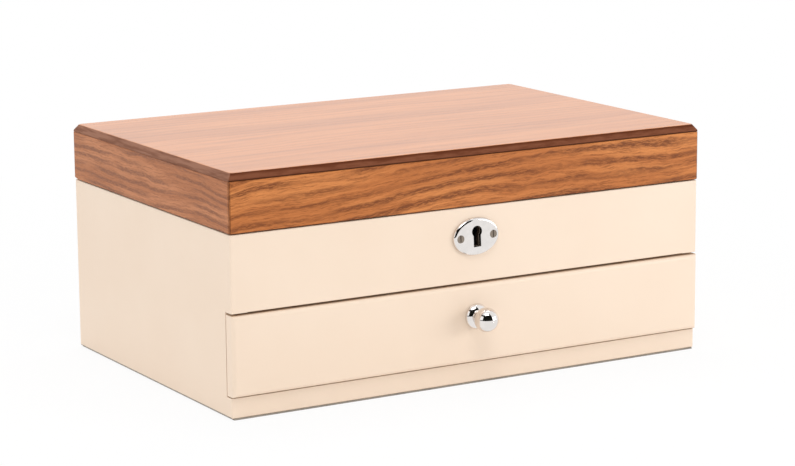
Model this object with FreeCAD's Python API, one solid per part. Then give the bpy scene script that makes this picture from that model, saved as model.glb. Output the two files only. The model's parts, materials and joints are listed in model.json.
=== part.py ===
import FreeCAD
import Part
import math
import os
from FreeCAD import Placement, Rotation, Vector

# A ring box with a hinged lid and one drawer. Painted boards make the body. The veneered lid
# turns on two butt hinges and stops itself with a bevel along its back edge. A small box lock
# joins lid and body at the front. The drawer runs on strips under a tray of ring rolls.
#
# Millimetres. The origin lies on the table under the middle of the body, the front faces -Y,
# and +Z is up. Every piece is one or more solids in its own file, and neighbours that are
# glued or screwed together touch face to face.

# ---------------------------------------------------------------- sizes: body
body_width = 280.4
body_depth = 184.0
wall = 9.0                      # side, front and back boards
corner_round = 0.8              # painted outer edges
rim_round = 0.5                 # outer edges where body and lid meet
felt_thickness = 0.6
felt_inset = 0.8                # from the boards' outer faces
rail_height = 10.4              # painted strip under the drawer
rail_set_back = 1.2
base_panel_thickness = 5.0
front_panel_height = 39.2
panel_edge_round = 0.5
tray_board_thickness = 3.0      # board between tray and drawer
tray_board_groove = 3.0         # how far it is let into the walls

# ---------------------------------------------------------------- sizes: lid
lid_gap = 0.5
lid_overhang = 0.5
lid_frame_height = 25.8
lid_top_thickness = 4.0
lid_corner_round = 1.8
lid_bevel_in = 2.3              # bevel round the top panel, inwards
lid_bevel_down = 3.2            # and downwards
lid_bevel_arris = 0.3           # blunted edge, on each side of it
lid_joint_chamfer = 0.25        # fine groove where top panel and rails meet
mirror_thickness = 2.0
mirror_margin = 30.0            # from the lid's inner walls to the mirror's edge
mirror_frame_thickness = 4.0
mirror_frame_lip = 3.0          # what the frame covers of the mirror
mirror_fit = 0.2

# ---------------------------------------------------------------- sizes: drawer
drawer_front_height = 41.0
drawer_front_thickness = 7.0
drawer_front_proud = 1.2        # stands this far out of the front panel
drawer_front_round = 1.9
drawer_gap_below = 0.6
drawer_gap_above = 1.2
drawer_notch_gap = 0.7          # behind the drawer front, at the side boards
drawer_board = 6.0              # sides, back and inner front
drawer_side_gap = 0.8
drawer_back_gap = 0.3
drawer_run_gap = 0.2            # over the runners
drawer_side_height = 37.0
drawer_bottom_thickness = 3.0
drawer_bottom_groove = 2.5
drawer_bottom_lift = 2.0        # underside of the bottom board over the sides' lower edge
drawer_back_gap_above = 0.6     # under the tray board
drawer_travel = 125.0
runner_width = 10.0
stop_strip_height = 3.4
stop_strip_width = 8.0
divider_thickness = 3.0
drawer_divider_height = 24.0

# ---------------------------------------------------------------- sizes: linings and rolls
lining = 1.0                    # velvet on card, walls and drawer
tray_floor_lining_thickness = 1.5
lining_below_rim = 2.5
roll_count = 5
roll_width = 21.6
roll_height = 22.5
roll_slot = 0.6                 # between two rolls
roll_end_gap = 0.5
roll_crown_share = 0.44         # top rounding as a share of the width
tray_divider_height = 22.0

# ---------------------------------------------------------------- sizes: hinges
hinge_width = 22.0
hinge_from_side = 55.0          # its middle from the body's side
hinge_leaf = 0.8
hinge_leaf_from_inside = 1.0    # leaf's front edge behind the wall's inner face
barrel_radius = 1.4
barrel_inset = 1.55             # hinge axis in front of the body's back face
barrel_clearance = 0.2
knuckle_gap = 0.2
hinge_pin_radius = 0.7
pin_press_clearance = 0.02
pin_running_clearance = 0.05
lid_stop_angle = 102.0          # the back bevel meets the body's back face here
lid_back_bevel_depth = 6.0
stop_clearance = 0.05

# ---------------------------------------------------------------- sizes: lock
escutcheon_width = 27.2
escutcheon_height = 19.8
escutcheon_thickness = 2.0
escutcheon_round = 1.5
escutcheon_drop = 15.4          # its middle below the rim
escutcheon_turn = 2.5           # sits this many degrees out of true, right end up
escutcheon_screw_spread = 19.6
keyhole_radius = 3.0
keyhole_slot_width = 4.4
keyhole_rise = 2.7              # round part's middle over the escutcheon's
keyhole_depth = 5.3             # slot's end under the escutcheon's middle
lock_skin = 2.5                 # wood left in front of the lock
lock_sheet = 0.8                # case wall
lock_plate_thickness = 1.0
lock_case_width = 38.0
lock_case_height = 23.4
lock_ear = 5.5                  # plate past the case at each side
lock_plate_below_case = 2.0
case_keyhole_radius = 2.5
case_keyhole_slot = 3.0
case_keyhole_depth = 6.2        # under the round part's middle
key_post_radius = 1.0
bolt_thickness = 2.0
bolt_bar_height = 3.3
bolt_travel = 5.0
bolt_bar_left = -15.4           # ends of the bar, from the lock's middle, unlocked
bolt_bar_right = 12.6
horn_height = 1.8
horn_upright = 2.4
talon_width = 5.0
talon_depth = 2.2
guide_pin_radius = 0.7
guide_clearance = 0.12
guide_places = (-6.4, 10.2)
strike_spread = 16.0            # between the strike's two loops
loop_thickness = 1.6
loop_wall = 0.8
loop_clearance = 0.3
loop_drop = 6.0                 # under the lid's lower face
strike_plate_thickness = 1.0
spring_thickness = 0.4
spring_bar_gap = 0.05
spring_foot_rise = 5.0          # upright part on the case wall
spring_reach = 8.0              # from the wall to where it touches the bolt
spring_curl = 1.0               # bent-down end

# ---------------------------------------------------------------- sizes: knob and screws
knob_height = 35.8              # middle of the knob over the table
rosette_radius = 6.8
rosette_flange = 0.7
rosette_height = 3.6
rosette_bulge = 0.7             # of the dome's curve, past the middle of its radius
rosette_shoulder = 0.9          # that point under the dome's top
knob_ball_radius = 6.35
knob_reach = 9.6                # ball's middle in front of the drawer front
knob_neck_radius = 2.5
knob_screw_radius = 1.5
knob_screw_head_radius = 3.0
knob_screw_head_height = 1.8
knob_screw_head_round = 0.8
knob_screw_depth = 4.6          # into the ball
knob_screw_head_clearance = 0.2
bore_clearance = 0.05
small_screw = dict(head=1.65, shank=0.9, sink=0.65, length=7.0)
plate_screw = dict(head=1.65, shank=0.9, sink=0.65, length=5.6)
screw_tip_gap = 0.1             # from a screw's tip to the mortise behind it
oval_screw = dict(
    head=2.1,
    shank=1.0,
    sink=1.1,
    length=escutcheon_thickness + lock_skin - screw_tip_gap,
)
screw_slot_width = 0.6
escutcheon_slot_turn = 90.0     # how each group's slots are turned, in degrees
body_slot_turn = 35.0
lid_slot_turn = 70.0
strike_slot_turn = 20.0
screw_slot_depth = 0.5
screw_fit = 0.02
screw_edge = 2.6                # screw's middle from the end of the plate it holds

# ---------------------------------------------------------------- working values
near = 0.01                     # tolerance for finding a face or an edge
overrun = 2.0                   # how far a cut runs past the wood

# ---------------------------------------------------------------- levels and faces
half_width = body_width / 2
front = -body_depth / 2
back = body_depth / 2
inner_x = half_width - wall
inner_front = front + wall
inner_back = back - wall
boards_z = felt_thickness
rail_top = boards_z + rail_height
rail_front = front + rail_set_back
base_top = boards_z + base_panel_thickness
drawer_front_z = rail_top + drawer_gap_below
drawer_front_top = drawer_front_z + drawer_front_height
front_panel_z = drawer_front_top + drawer_gap_above
rim = front_panel_z + front_panel_height
tray_board_top = front_panel_z + tray_board_thickness
lid_z = rim + lid_gap
lid_joint_z = lid_z + lid_frame_height
lid_top_z = lid_joint_z + lid_top_thickness
lid_half_width = half_width + lid_overhang
lid_front = front - lid_overhang
lid_back = back + lid_overhang

drawer_face = front - drawer_front_proud
drawer_front_back = drawer_face + drawer_front_thickness
notch_back = drawer_front_back + drawer_notch_gap
drawer_bottom_edge = rail_top + drawer_run_gap
drawer_half_width = inner_x - drawer_side_gap
drawer_inner_x = drawer_half_width - drawer_board
drawer_back_face = inner_back - drawer_back_gap
drawer_back_inner = drawer_back_face - drawer_board
drawer_inner_front_face = drawer_front_back + drawer_board
drawer_side_top = drawer_bottom_edge + drawer_side_height
drawer_board_z = drawer_bottom_edge + drawer_bottom_lift
drawer_floor = drawer_board_z + drawer_bottom_thickness

tray_floor = tray_board_top + tray_floor_lining_thickness
tray_x = inner_x - lining
tray_front = inner_front + lining
tray_back = inner_back - lining
rolls_back = tray_front + roll_count * (roll_width + roll_slot)

# The hinge axis lies as far under the lid's back bevel as behind it lies the body's back
# face, so that the bevel lands flat on that face when the lid has turned by lid_stop_angle.
bevel_slope = math.radians(lid_stop_angle - 90.0)
bevel_start = lid_back - lid_back_bevel_depth
axis_y = back - barrel_inset
axis_below_lid = (
    barrel_inset + stop_clearance + (bevel_start - axis_y) * math.sin(bevel_slope)
) / math.cos(bevel_slope)
axis_z = lid_z - axis_below_lid

lock_plate_width = lock_case_width + 2 * lock_ear
lock_front = front + lock_skin
lock_back = inner_front - lock_plate_thickness
case_top = rim - lock_plate_thickness
case_bottom = case_top - lock_case_height
escutcheon_z = rim - escutcheon_drop
key_z = escutcheon_z + keyhole_rise
keyhole_bottom = escutcheon_z - keyhole_depth
lock_middle_y = (lock_front + lock_sheet + lock_back) / 2
loop_bottom = lid_z - loop_drop
loop_places = (-strike_spread / 2, strike_spread / 2)
horn_z = loop_bottom + loop_wall + loop_clearance
bar_top = loop_bottom - loop_clearance
bar_bottom = bar_top - bolt_bar_height


# ---------------------------------------------------------------- shape helpers
def box(x0, x1, y0, y1, z0, z1):
    """Block between two opposite corners."""
    return Part.makeBox(x1 - x0, y1 - y0, z1 - z0, Vector(x0, y0, z0))


def mirrored(shape):
    """The same shape on the other side of the middle plane."""
    return shape.mirror(Vector(0, 0, 0), Vector(1, 0, 0))


def edges_at(shape, **coordinates):
    """Straight edges that lie whole at the given x, y or z."""
    found = []
    for edge in shape.Edges:
        ends = [vertex.Point for vertex in edge.Vertexes]
        if len(ends) == 2 and all(
            abs(getattr(point, axis) - value) < near
            for point in ends
            for axis, value in coordinates.items()
        ):
            found.append(edge)
    return found


def prism(points, height):
    """Upright prism over a closed outline of x, y points; the first point's z is its foot."""
    wire = Part.makePolygon([*points, points[0]])
    return Part.Face(wire).extrude(Vector(0, 0, height))


def bar_along_x(outline, x0, x1):
    """Bar along X with a closed outline of (y, z) points."""
    points = [Vector(x0, y, z) for y, z in outline]
    return Part.Face(Part.makePolygon([*points, points[0]])).extrude(Vector(x1 - x0, 0, 0))


def plate_along_y(outline, y0, y1):
    """Plate across Y with a closed outline of (x, z) points."""
    points = [Vector(x, y0, z) for x, z in outline]
    return Part.Face(Part.makePolygon([*points, points[0]])).extrude(Vector(0, y1 - y0, 0))


def turned(profile):
    """Solid turned about Z from a closed outline of (radius, z) points."""
    points = [Vector(radius, 0, z) for radius, z in profile]
    face = Part.Face(Part.makePolygon([*points, points[0]]))
    return face.revolve(Vector(0, 0, 0), Vector(0, 0, 1), 360)


def aimed(shape, place, direction):
    """A shape made along +Z, set at a place and pointed in a direction."""
    copy = shape.copy()
    copy.Placement = Placement(place, Rotation(Vector(0, 0, 1), direction))
    return copy


def screw_blank(head, shank, sink, length, grow=0.0):
    """Countersunk screw without its slot, head at z = 0 and point up; grow makes its hole."""
    tip = shank
    return turned([
        (0, 0),
        (head + grow, 0),
        (shank + grow, sink + grow),
        (shank + grow, length - tip),
        (0, length + grow),
    ])


def screw(sizes, turn=0.0):
    """Slotted countersunk screw; turn is the slot's angle in degrees."""
    head = sizes["head"]
    slot = box(-head, head, -screw_slot_width / 2, screw_slot_width / 2, 0, screw_slot_depth)
    slot.rotate(Vector(0, 0, 0), Vector(0, 0, 1), turn)
    return screw_blank(**sizes).cut(slot)


def screw_hole(sizes):
    """What is drilled and countersunk for a screw."""
    return screw_blank(**sizes, grow=screw_fit)


def ring(outer, inner):
    """What is left of one block around another."""
    return outer.cut(inner)


# ---------------------------------------------------------------- hinges: places and cuts
hinge_middles = (hinge_from_side - half_width, half_width - hinge_from_side)
leaf_front = inner_back + hinge_leaf_from_inside
leaf_end = axis_y - barrel_radius - barrel_clearance
hinge_screw_y = (leaf_front + leaf_end) / 2
hinge_screw_offsets = (screw_edge - hinge_width / 2, hinge_width / 2 - screw_edge)


def hinge_screw_places(level):
    """Heads of all hinge screws at one level."""
    return [
        Vector(middle + offset, hinge_screw_y, level)
        for middle in hinge_middles
        for offset in hinge_screw_offsets
    ]


def knuckles(middle, inner):
    """Outer two knuckles of a hinge, or its inner one, as solid cylinders along X."""
    third = hinge_width / 3
    starts = [0.0] if inner else [-third, third]
    length = third - knuckle_gap
    found = [
        Part.makeCylinder(
            barrel_radius,
            length,
            Vector(middle + start - length / 2, axis_y, axis_z),
            Vector(1, 0, 0),
        )
        for start in starts
    ]
    return found, [(middle + start - length / 2, middle + start + length / 2) for start in starts]


def pin_bore(middle, clearance):
    """Hole through a hinge's knuckles."""
    return Part.makeCylinder(
        hinge_pin_radius + clearance,
        hinge_width + 2 * overrun,
        Vector(middle - hinge_width / 2 - overrun, axis_y, axis_z),
        Vector(1, 0, 0),
    )


def hinge_leaf_solid(middle, z0, z1, inner, clearance, head_level, aim):
    """One leaf: a plate, tabs to its knuckles, the knuckles, the pin's bore, two screw holes."""
    left, right = middle - hinge_width / 2, middle + hinge_width / 2
    leaf = box(left, right, leaf_front, leaf_end, z0, z1)
    rounds, spans = knuckles(middle, inner)
    for x0, x1 in spans:
        leaf = leaf.fuse(box(x0, x1, leaf_end, axis_y - barrel_radius / 2, z0, z1))
    for cylinder in rounds:
        leaf = leaf.fuse(cylinder)
    leaf = leaf.cut(pin_bore(middle, clearance))
    for place in hinge_screw_places(head_level):
        if left < place.x < right:
            leaf = leaf.cut(aimed(screw_hole(small_screw), place, aim))
    return leaf.removeSplitter()


def body_leaf(middle):
    """Leaf let into the body's rim, with the outer knuckles."""
    return hinge_leaf_solid(
        middle, rim - hinge_leaf, rim, False, pin_press_clearance, rim, Vector(0, 0, -1)
    )


def lid_leaf(middle):
    """Leaf let into the lid's lower face, with the inner knuckle."""
    return hinge_leaf_solid(
        middle, lid_z, lid_z + hinge_leaf, True, pin_running_clearance, lid_z, Vector(0, 0, 1)
    )


def hinge_pin(middle):
    """Pin that holds one hinge together."""
    return Part.makeCylinder(
        hinge_pin_radius,
        hinge_width,
        Vector(middle - hinge_width / 2, axis_y, axis_z),
        Vector(1, 0, 0),
    )


def hinge_seats(z0, z1):
    """Recesses for both leaves between two levels, open to the back."""
    return [
        box(middle - hinge_width / 2, middle + hinge_width / 2, leaf_front, lid_back, z0, z1)
        for middle in hinge_middles
    ]


def barrel_notches():
    """Room for the barrels in the body's back board."""
    low = axis_z - barrel_radius - barrel_clearance
    half = hinge_width / 2
    return [
        box(middle - half, middle + half, leaf_end, back, low, rim)
        for middle in hinge_middles
    ]


# ---------------------------------------------------------------- body boards
def tray_board_grooved():
    """The tray board at its full size, tongues included."""
    reach = tray_board_groove
    return box(
        -inner_x - reach,
        inner_x + reach,
        inner_front - reach,
        inner_back + reach,
        front_panel_z,
        tray_board_top,
    )


def side_panel():
    """Right side board, with the notch that the drawer front closes."""
    panel = box(inner_x, half_width, front, back, boards_z, rim)
    panel = panel.cut(box(inner_x, half_width, front, rail_front, boards_z, rail_top))
    panel = panel.cut(box(inner_x, half_width, front, notch_back, rail_top, front_panel_z))
    outer = (
        edges_at(panel, x=half_width, y=front)
        + edges_at(panel, x=half_width, y=back)
        + edges_at(panel, x=half_width, y=rail_front)
        + edges_at(panel, x=half_width, z=boards_z)
        + edges_at(panel, y=back, z=boards_z)
        + edges_at(panel, y=rail_front, z=boards_z)
    )
    panel = panel.makeFillet(corner_round, outer)
    inner_edge = edges_at(panel, x=inner_x, z=rim)[0]
    top = [e for e in panel.Edges if e.BoundBox.ZMin > rim - near and not e.isSame(inner_edge)]
    return panel.makeFillet(rim_round, top).cut(tray_board_grooved())


def back_panel():
    """Back board, notched for the hinges."""
    panel = box(-inner_x, inner_x, inner_back, back, boards_z, rim)
    panel = panel.makeFillet(corner_round, edges_at(panel, y=back, z=boards_z))
    panel = panel.makeFillet(rim_round, edges_at(panel, y=back, z=rim))
    cuts = [tray_board_grooved(), *barrel_notches(), *hinge_seats(rim - hinge_leaf, rim)]
    cuts += [
        aimed(screw_hole(small_screw), place, Vector(0, 0, -1))
        for place in hinge_screw_places(rim)
    ]
    return panel.cut(cuts)


def keyhole(radius, slot_width, slot_end, y0, y1):
    """Keyhole through everything between two faces."""
    depth = y1 - y0
    round_part = Part.makeCylinder(radius, depth, Vector(0, y0, key_z), Vector(0, 1, 0))
    return round_part.fuse(box(-slot_width / 2, slot_width / 2, y0, y1, slot_end, key_z))


def lock_seat():
    """Everything that the lock takes out of the front panel, as blocks that touch."""
    case_half, plate_half = lock_case_width / 2, lock_plate_width / 2
    plate_bottom = case_bottom - lock_plate_below_case
    return [
        box(-case_half, case_half, lock_front, lock_back, case_bottom, case_top),
        box(-plate_half, plate_half, lock_back, inner_front, plate_bottom, rim),
        box(-plate_half, plate_half, lock_front, inner_front, case_top, rim),
    ]


def front_panel():
    """Fixed board over the drawer, with the lock's mortise."""
    panel = box(-inner_x, inner_x, front, inner_front, front_panel_z, rim)
    panel = panel.makeFillet(panel_edge_round, edges_at(panel, y=front, z=front_panel_z))
    panel = panel.makeFillet(rim_round, edges_at(panel, y=front, z=rim))
    cuts = [tray_board_grooved(), *lock_seat()]
    cuts.append(out_of_true(cover_keyhole(front, lock_front)))
    cuts += [out_of_true(hole) for hole in at_oval_screws(screw_hole(oval_screw))]
    cuts += [aimed(screw_hole(plate_screw), *placed) for placed in lock_screw_places()]
    return panel.cut(cuts)


def base_front_rail():
    """Painted strip under the drawer."""
    rail = box(-inner_x, inner_x, rail_front, rail_front + wall, boards_z, rail_top)
    return rail.makeFillet(corner_round, edges_at(rail, y=rail_front, z=boards_z))


def base_panel():
    """Bottom board."""
    return box(-inner_x, inner_x, rail_front + wall, inner_back, boards_z, base_top)


def base_felt():
    """Felt under the whole base."""
    reach = half_width - felt_inset
    return box(-reach, reach, front + felt_inset, back - felt_inset, 0, felt_thickness)


def drawer_runner():
    """Right runner strip, glued on the base beside the wall."""
    return box(inner_x - runner_width, inner_x, rail_front + wall, inner_back, base_top, rail_top)


def drawer_stop_strip():
    """Strip under the tray board that the drawer's taller back meets when it is pulled out."""
    stop_face = drawer_back_inner - drawer_travel - stop_clearance
    low = front_panel_z - stop_strip_height
    return box(-inner_x, inner_x, stop_face - stop_strip_width, stop_face, low, front_panel_z)


# ---------------------------------------------------------------- lock
def out_of_true(shape):
    """A shape made level, turned with the escutcheon about its middle."""
    copy = shape.copy()
    copy.rotate(Vector(0, 0, escutcheon_z), Vector(0, -1, 0), escutcheon_turn)
    return copy


def cover_keyhole(y0, y1):
    """The escutcheon's keyhole between two faces, level."""
    return keyhole(keyhole_radius, keyhole_slot_width, keyhole_bottom, y0, y1)


def at_oval_screws(shape):
    """A shape made along +Z, set level at both screws of the escutcheon."""
    y = front - escutcheon_thickness
    reach = escutcheon_screw_spread / 2
    return [
        aimed(shape, Vector(x, y, escutcheon_z), Vector(0, 1, 0))
        for x in (-reach, reach)
    ]


def lock_screw_places():
    """Place and direction of the four screws of the lock plate."""
    reach = lock_plate_width / 2 - screw_edge
    low = case_bottom + screw_edge
    return [
        (Vector(side * reach, y, z), direction)
        for side in (-1, 1)
        for y, z, direction in (
            ((lock_front + inner_front) / 2, rim, Vector(0, 0, -1)),
            (inner_front, low, Vector(0, -1, 0)),
        )
    ]


def escutcheon():
    """Oval cover plate with the keyhole."""
    oval = Part.Ellipse(Vector(0, 0, 0), escutcheon_width / 2, escutcheon_height / 2)
    face = Part.Face(Part.Wire([oval.toShape()]))
    plate = face.extrude(Vector(0, 0, escutcheon_thickness))
    rim_edges = [e for e in plate.Edges if abs(e.CenterOfMass.z - escutcheon_thickness) < near]
    plate = plate.makeFillet(escutcheon_round, rim_edges)
    plate.rotate(Vector(0, 0, 0), Vector(1, 0, 0), 90)
    plate.translate(Vector(0, front, escutcheon_z))
    holes = at_oval_screws(screw_hole(oval_screw))
    holes.append(cover_keyhole(front - escutcheon_thickness, front))
    return out_of_true(plate.cut(holes))


def escutcheon_screws():
    """The two screws of the escutcheon."""
    return [out_of_true(one) for one in at_oval_screws(screw(oval_screw, escutcheon_slot_turn))]


def lock_case():
    """Open box that sits in the mortise, with a keyhole in its front."""
    half = lock_case_width / 2
    outer = box(-half, half, lock_front, lock_back, case_bottom, case_top)
    room = box(
        lock_sheet - half,
        half - lock_sheet,
        lock_front + lock_sheet,
        lock_back,
        case_bottom + lock_sheet,
        case_top,
    )
    hole = keyhole(
        case_keyhole_radius,
        case_keyhole_slot,
        key_z - case_keyhole_depth,
        lock_front,
        lock_front + lock_sheet,
    )
    return outer.cut([room, hole])


def lock_plate():
    """Angled plate: its long face closes the case, its top lies in the rim with two slots."""
    half = lock_plate_width / 2
    plate_bottom = case_bottom - lock_plate_below_case
    plate = box(-half, half, lock_back, inner_front, plate_bottom, rim)
    plate = plate.fuse(box(-half, half, lock_front, lock_back, case_top, rim))
    y0, y1 = loop_span()
    slack = loop_clearance / 2
    cuts = [
        box(
            x - loop_thickness / 2 - loop_clearance,
            x + loop_thickness / 2 + loop_clearance,
            y0 - loop_clearance,
            y1 + slack,
            case_top,
            rim,
        )
        for x in loop_places
    ]
    cuts += [aimed(screw_hole(plate_screw), *placed) for placed in lock_screw_places()]
    return plate.cut(cuts).removeSplitter()


def lock_screws():
    """The four screws of the lock plate."""
    return [aimed(screw(plate_screw), *placed) for placed in lock_screw_places()]


def lock_key_post():
    """Post that a hollow key turns on."""
    start = lock_front + lock_sheet
    direction = Vector(0, 1, 0)
    return Part.makeCylinder(key_post_radius, lock_back - start, Vector(0, start, key_z), direction)


def guide_z():
    """Middle height of the bolt's slots."""
    return bar_top - guide_pin_radius - 2 * guide_clearance - loop_clearance


def lock_bolt_guides():
    """Two pins that the bolt slides on."""
    start = lock_front + lock_sheet
    return [
        Part.makeCylinder(
            guide_pin_radius, lock_back - start, Vector(x, start, guide_z()), Vector(0, 1, 0)
        )
        for x in guide_places
    ]


def lock_bolt():
    """Bolt: a bar with two hooked horns, a talon for the key and two guide slots."""
    y0, y1 = lock_middle_y - bolt_thickness / 2, lock_middle_y + bolt_thickness / 2
    bolt = box(bolt_bar_left, bolt_bar_right, y0, y1, bar_bottom, bar_top)
    for x in loop_places:
        tip = x - loop_thickness / 2 - loop_clearance
        root = tip - bolt_travel + loop_clearance
        bolt = bolt.fuse(box(root - horn_upright, root, y0, y1, bar_top, horn_z + horn_height))
        bolt = bolt.fuse(box(root, tip, y0, y1, horn_z, horn_z + horn_height))
    talon_half = talon_width / 2
    cuts = [box(-talon_half, talon_half, y0, y1, bar_bottom, bar_bottom + talon_depth)]
    reach = guide_pin_radius + guide_clearance
    cuts += [
        box(x - bolt_travel - reach, x + reach, y0, y1, guide_z() - reach, guide_z() + reach)
        for x in guide_places
    ]
    return bolt.cut(cuts).removeSplitter()


def lock_spring():
    """Leaf spring that presses on the bolt's lower edge."""
    foot_x = lock_case_width / 2 - lock_sheet
    foot_z = case_bottom + lock_sheet
    touch_z = bar_bottom - spring_bar_gap
    t = spring_thickness
    knee_z = foot_z + spring_foot_rise
    touch_x = foot_x - spring_reach
    curl = spring_curl
    outline = [
        (foot_x, foot_z),
        (foot_x, knee_z),
        (touch_x + curl, touch_z - t),
        (touch_x, touch_z),
        (touch_x - curl, touch_z - t),
        (touch_x - curl, touch_z - 2 * t),
        (touch_x, touch_z - t),
        (touch_x + curl - t, touch_z - 2 * t),
        (foot_x - t, knee_z - t),
        (foot_x - t, foot_z),
    ]
    half = bolt_thickness / 2
    return plate_along_y(outline, lock_middle_y - half, lock_middle_y + half)


def loop_span():
    """Front and back of the strike's loops."""
    reach = bolt_thickness / 2 + loop_clearance + loop_wall
    return lock_middle_y - reach, lock_middle_y + reach


def strike_screw_places():
    """Heads of the strike's two screws."""
    reach = lock_plate_width / 2 - screw_edge
    y = (lock_front + inner_front) / 2
    return [Vector(-reach, y, lid_z), Vector(reach, y, lid_z)]


def strike_block():
    """The strike's plate, without its loops, and what it takes out of the lid."""
    half = lock_plate_width / 2
    return box(-half, half, lock_front, inner_front, lid_z, lid_z + strike_plate_thickness)


def strike_plate():
    """Plate in the lid with two loops that the bolt's horns pass through."""
    plate = strike_block()
    y0, y1 = loop_span()
    for x in loop_places:
        x0, x1 = x - loop_thickness / 2, x + loop_thickness / 2
        loop = box(x0, x1, y0, y1, loop_bottom, lid_z)
        eye = box(
            x0,
            x1,
            y0 + loop_wall,
            y1 - loop_wall,
            loop_bottom + loop_wall,
            horn_z + horn_height + loop_clearance,
        )
        plate = plate.fuse(loop.cut(eye))
    for place in strike_screw_places():
        plate = plate.cut(aimed(screw_hole(small_screw), place, Vector(0, 0, 1)))
    return plate.removeSplitter()


def strike_screws():
    """The strike's two screws."""
    return [
        aimed(screw(small_screw, strike_slot_turn), place, Vector(0, 0, 1))
        for place in strike_screw_places()
    ]


# ---------------------------------------------------------------- lid
def lid_frame():
    """The four rails as one ring, before they are mitred apart."""
    outer = box(-lid_half_width, lid_half_width, lid_front, lid_back, lid_z, lid_joint_z)
    corners = [
        edge
        for x in (-lid_half_width, lid_half_width)
        for y in (lid_front, lid_back)
        for edge in edges_at(outer, x=x, y=y)
    ]
    outer = outer.makeFillet(lid_corner_round, corners)
    joint_edges = [e for e in outer.Edges if abs(e.BoundBox.ZMin - lid_joint_z) < near]
    outer = outer.makeChamfer(lid_joint_chamfer, joint_edges)
    foot_edges = [e for e in outer.Edges if e.BoundBox.ZMax < lid_z + near]
    outer = outer.makeFillet(rim_round, foot_edges)
    room = box(-inner_x, inner_x, inner_front, inner_back, lid_z, lid_joint_z)
    rise = (lid_back_bevel_depth + overrun) * math.tan(bevel_slope)
    bevel = bar_along_x(
        [
            (bevel_start, lid_z),
            (lid_back + overrun, lid_z),
            (lid_back + overrun, lid_z + rise),
        ],
        -lid_half_width,
        lid_half_width,
    )
    return ring(outer, room).cut(bevel)


def mitre_wedge(side):
    """Upright prism that holds one mitred rail: side is front, back, left or right."""
    x, y0, y1 = lid_half_width, lid_front, lid_back
    t = wall + lid_overhang
    far = {
        "front": [(-x, y0), (x, y0), (x - t, y0 + t), (-x + t, y0 + t)],
        "back": [(-x, y1), (x, y1), (x - t, y1 - t), (-x + t, y1 - t)],
        "left": [(-x, y0), (-x, y1), (-x + t, y1 - t), (-x + t, y0 + t)],
        "right": [(x, y0), (x, y1), (x - t, y1 - t), (x - t, y0 + t)],
    }[side]
    return prism([Vector(px, py, lid_z) for px, py in far], lid_frame_height)


def lid_rail(side):
    """One rail of the lid, with the recesses of what is let into it."""
    rail = lid_frame().common(mitre_wedge(side))
    if side == "front":
        cuts = [strike_block()]
        cuts += [
            aimed(screw_hole(small_screw), place, Vector(0, 0, 1))
            for place in strike_screw_places()
        ]
        rail = rail.cut(cuts)
    if side == "back":
        cuts = hinge_seats(lid_z, lid_z + hinge_leaf)
        cuts += [
            aimed(screw_hole(small_screw), place, Vector(0, 0, 1))
            for place in hinge_screw_places(lid_z)
        ]
        rail = rail.cut(cuts)
    return rail


def rounded_outline(inset, radius, level):
    """The lid's outline at one level, moved inwards, with round corners."""
    x, y0, y1 = lid_half_width - inset, lid_front + inset, lid_back - inset
    slab = box(-x, x, y0, y1, level, level + 1)
    corners = [e for px in (-x, x) for py in (y0, y1) for e in edges_at(slab, x=px, y=py)]
    slab = slab.makeFillet(radius, corners)
    foot = [face for face in slab.Faces if abs(face.BoundBox.ZMax - level) < near][0]
    return foot.OuterWire


def lid_top_panel():
    """Top board with a bevel all round and blunted arrises."""
    bevel_z = lid_top_z - lid_bevel_down
    bevel_length = math.hypot(lid_bevel_in, lid_bevel_down)
    along_in = lid_bevel_arris * lid_bevel_in / bevel_length
    along_up = lid_bevel_arris * lid_bevel_down / bevel_length
    steps = [
        (lid_joint_chamfer, lid_joint_z),
        (0.0, lid_joint_z + lid_joint_chamfer),
        (0.0, bevel_z - lid_bevel_arris),
        (along_in, bevel_z + along_up),
        (lid_bevel_in - along_in, lid_top_z - along_up),
        (lid_bevel_in + lid_bevel_arris, lid_top_z),
    ]
    outlines = [rounded_outline(inset, lid_corner_round, level) for inset, level in steps]
    return Part.makeLoft(outlines, True, True)


def lid_mirror():
    """Mirror glued under the top board."""
    x = inner_x - mirror_margin
    y0, y1 = inner_front + mirror_margin, inner_back - mirror_margin
    return box(-x, x, y0, y1, lid_joint_z - mirror_thickness, lid_joint_z)


def lid_mirror_frame():
    """Velvet-covered frame that fills the lid round the mirror and laps over its edge."""
    x = inner_x - mirror_fit
    y0, y1 = inner_front + mirror_fit, inner_back - mirror_fit
    z0 = lid_joint_z - mirror_frame_thickness
    sheet = box(-x, x, y0, y1, z0, lid_joint_z)
    lap = mirror_margin + mirror_frame_lip
    window = box(
        lap - inner_x, inner_x - lap, inner_front + lap, inner_back - lap, z0, lid_joint_z
    )
    seat = mirror_margin - mirror_fit
    rebate = box(
        seat - inner_x,
        inner_x - seat,
        inner_front + seat,
        inner_back - seat,
        lid_joint_z - mirror_thickness,
        lid_joint_z,
    )
    return sheet.cut([window, rebate])


# ---------------------------------------------------------------- tray
def tray_floor_lining():
    """Velvet-covered card on the tray board."""
    return box(-inner_x, inner_x, inner_front, inner_back, tray_board_top, tray_floor)


def tray_wall_lining():
    """Velvet-covered card round the tray's walls, cut out round the lock plate."""
    top = rim - lining_below_rim
    outer = box(-inner_x, inner_x, inner_front, inner_back, tray_floor, top)
    inner = box(-tray_x, tray_x, tray_front, tray_back, tray_floor, top)
    half = lock_plate_width / 2
    window = box(-half, half, inner_front, tray_front, case_bottom - lock_plate_below_case, top)
    return ring(outer, inner).cut(window)


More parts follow.
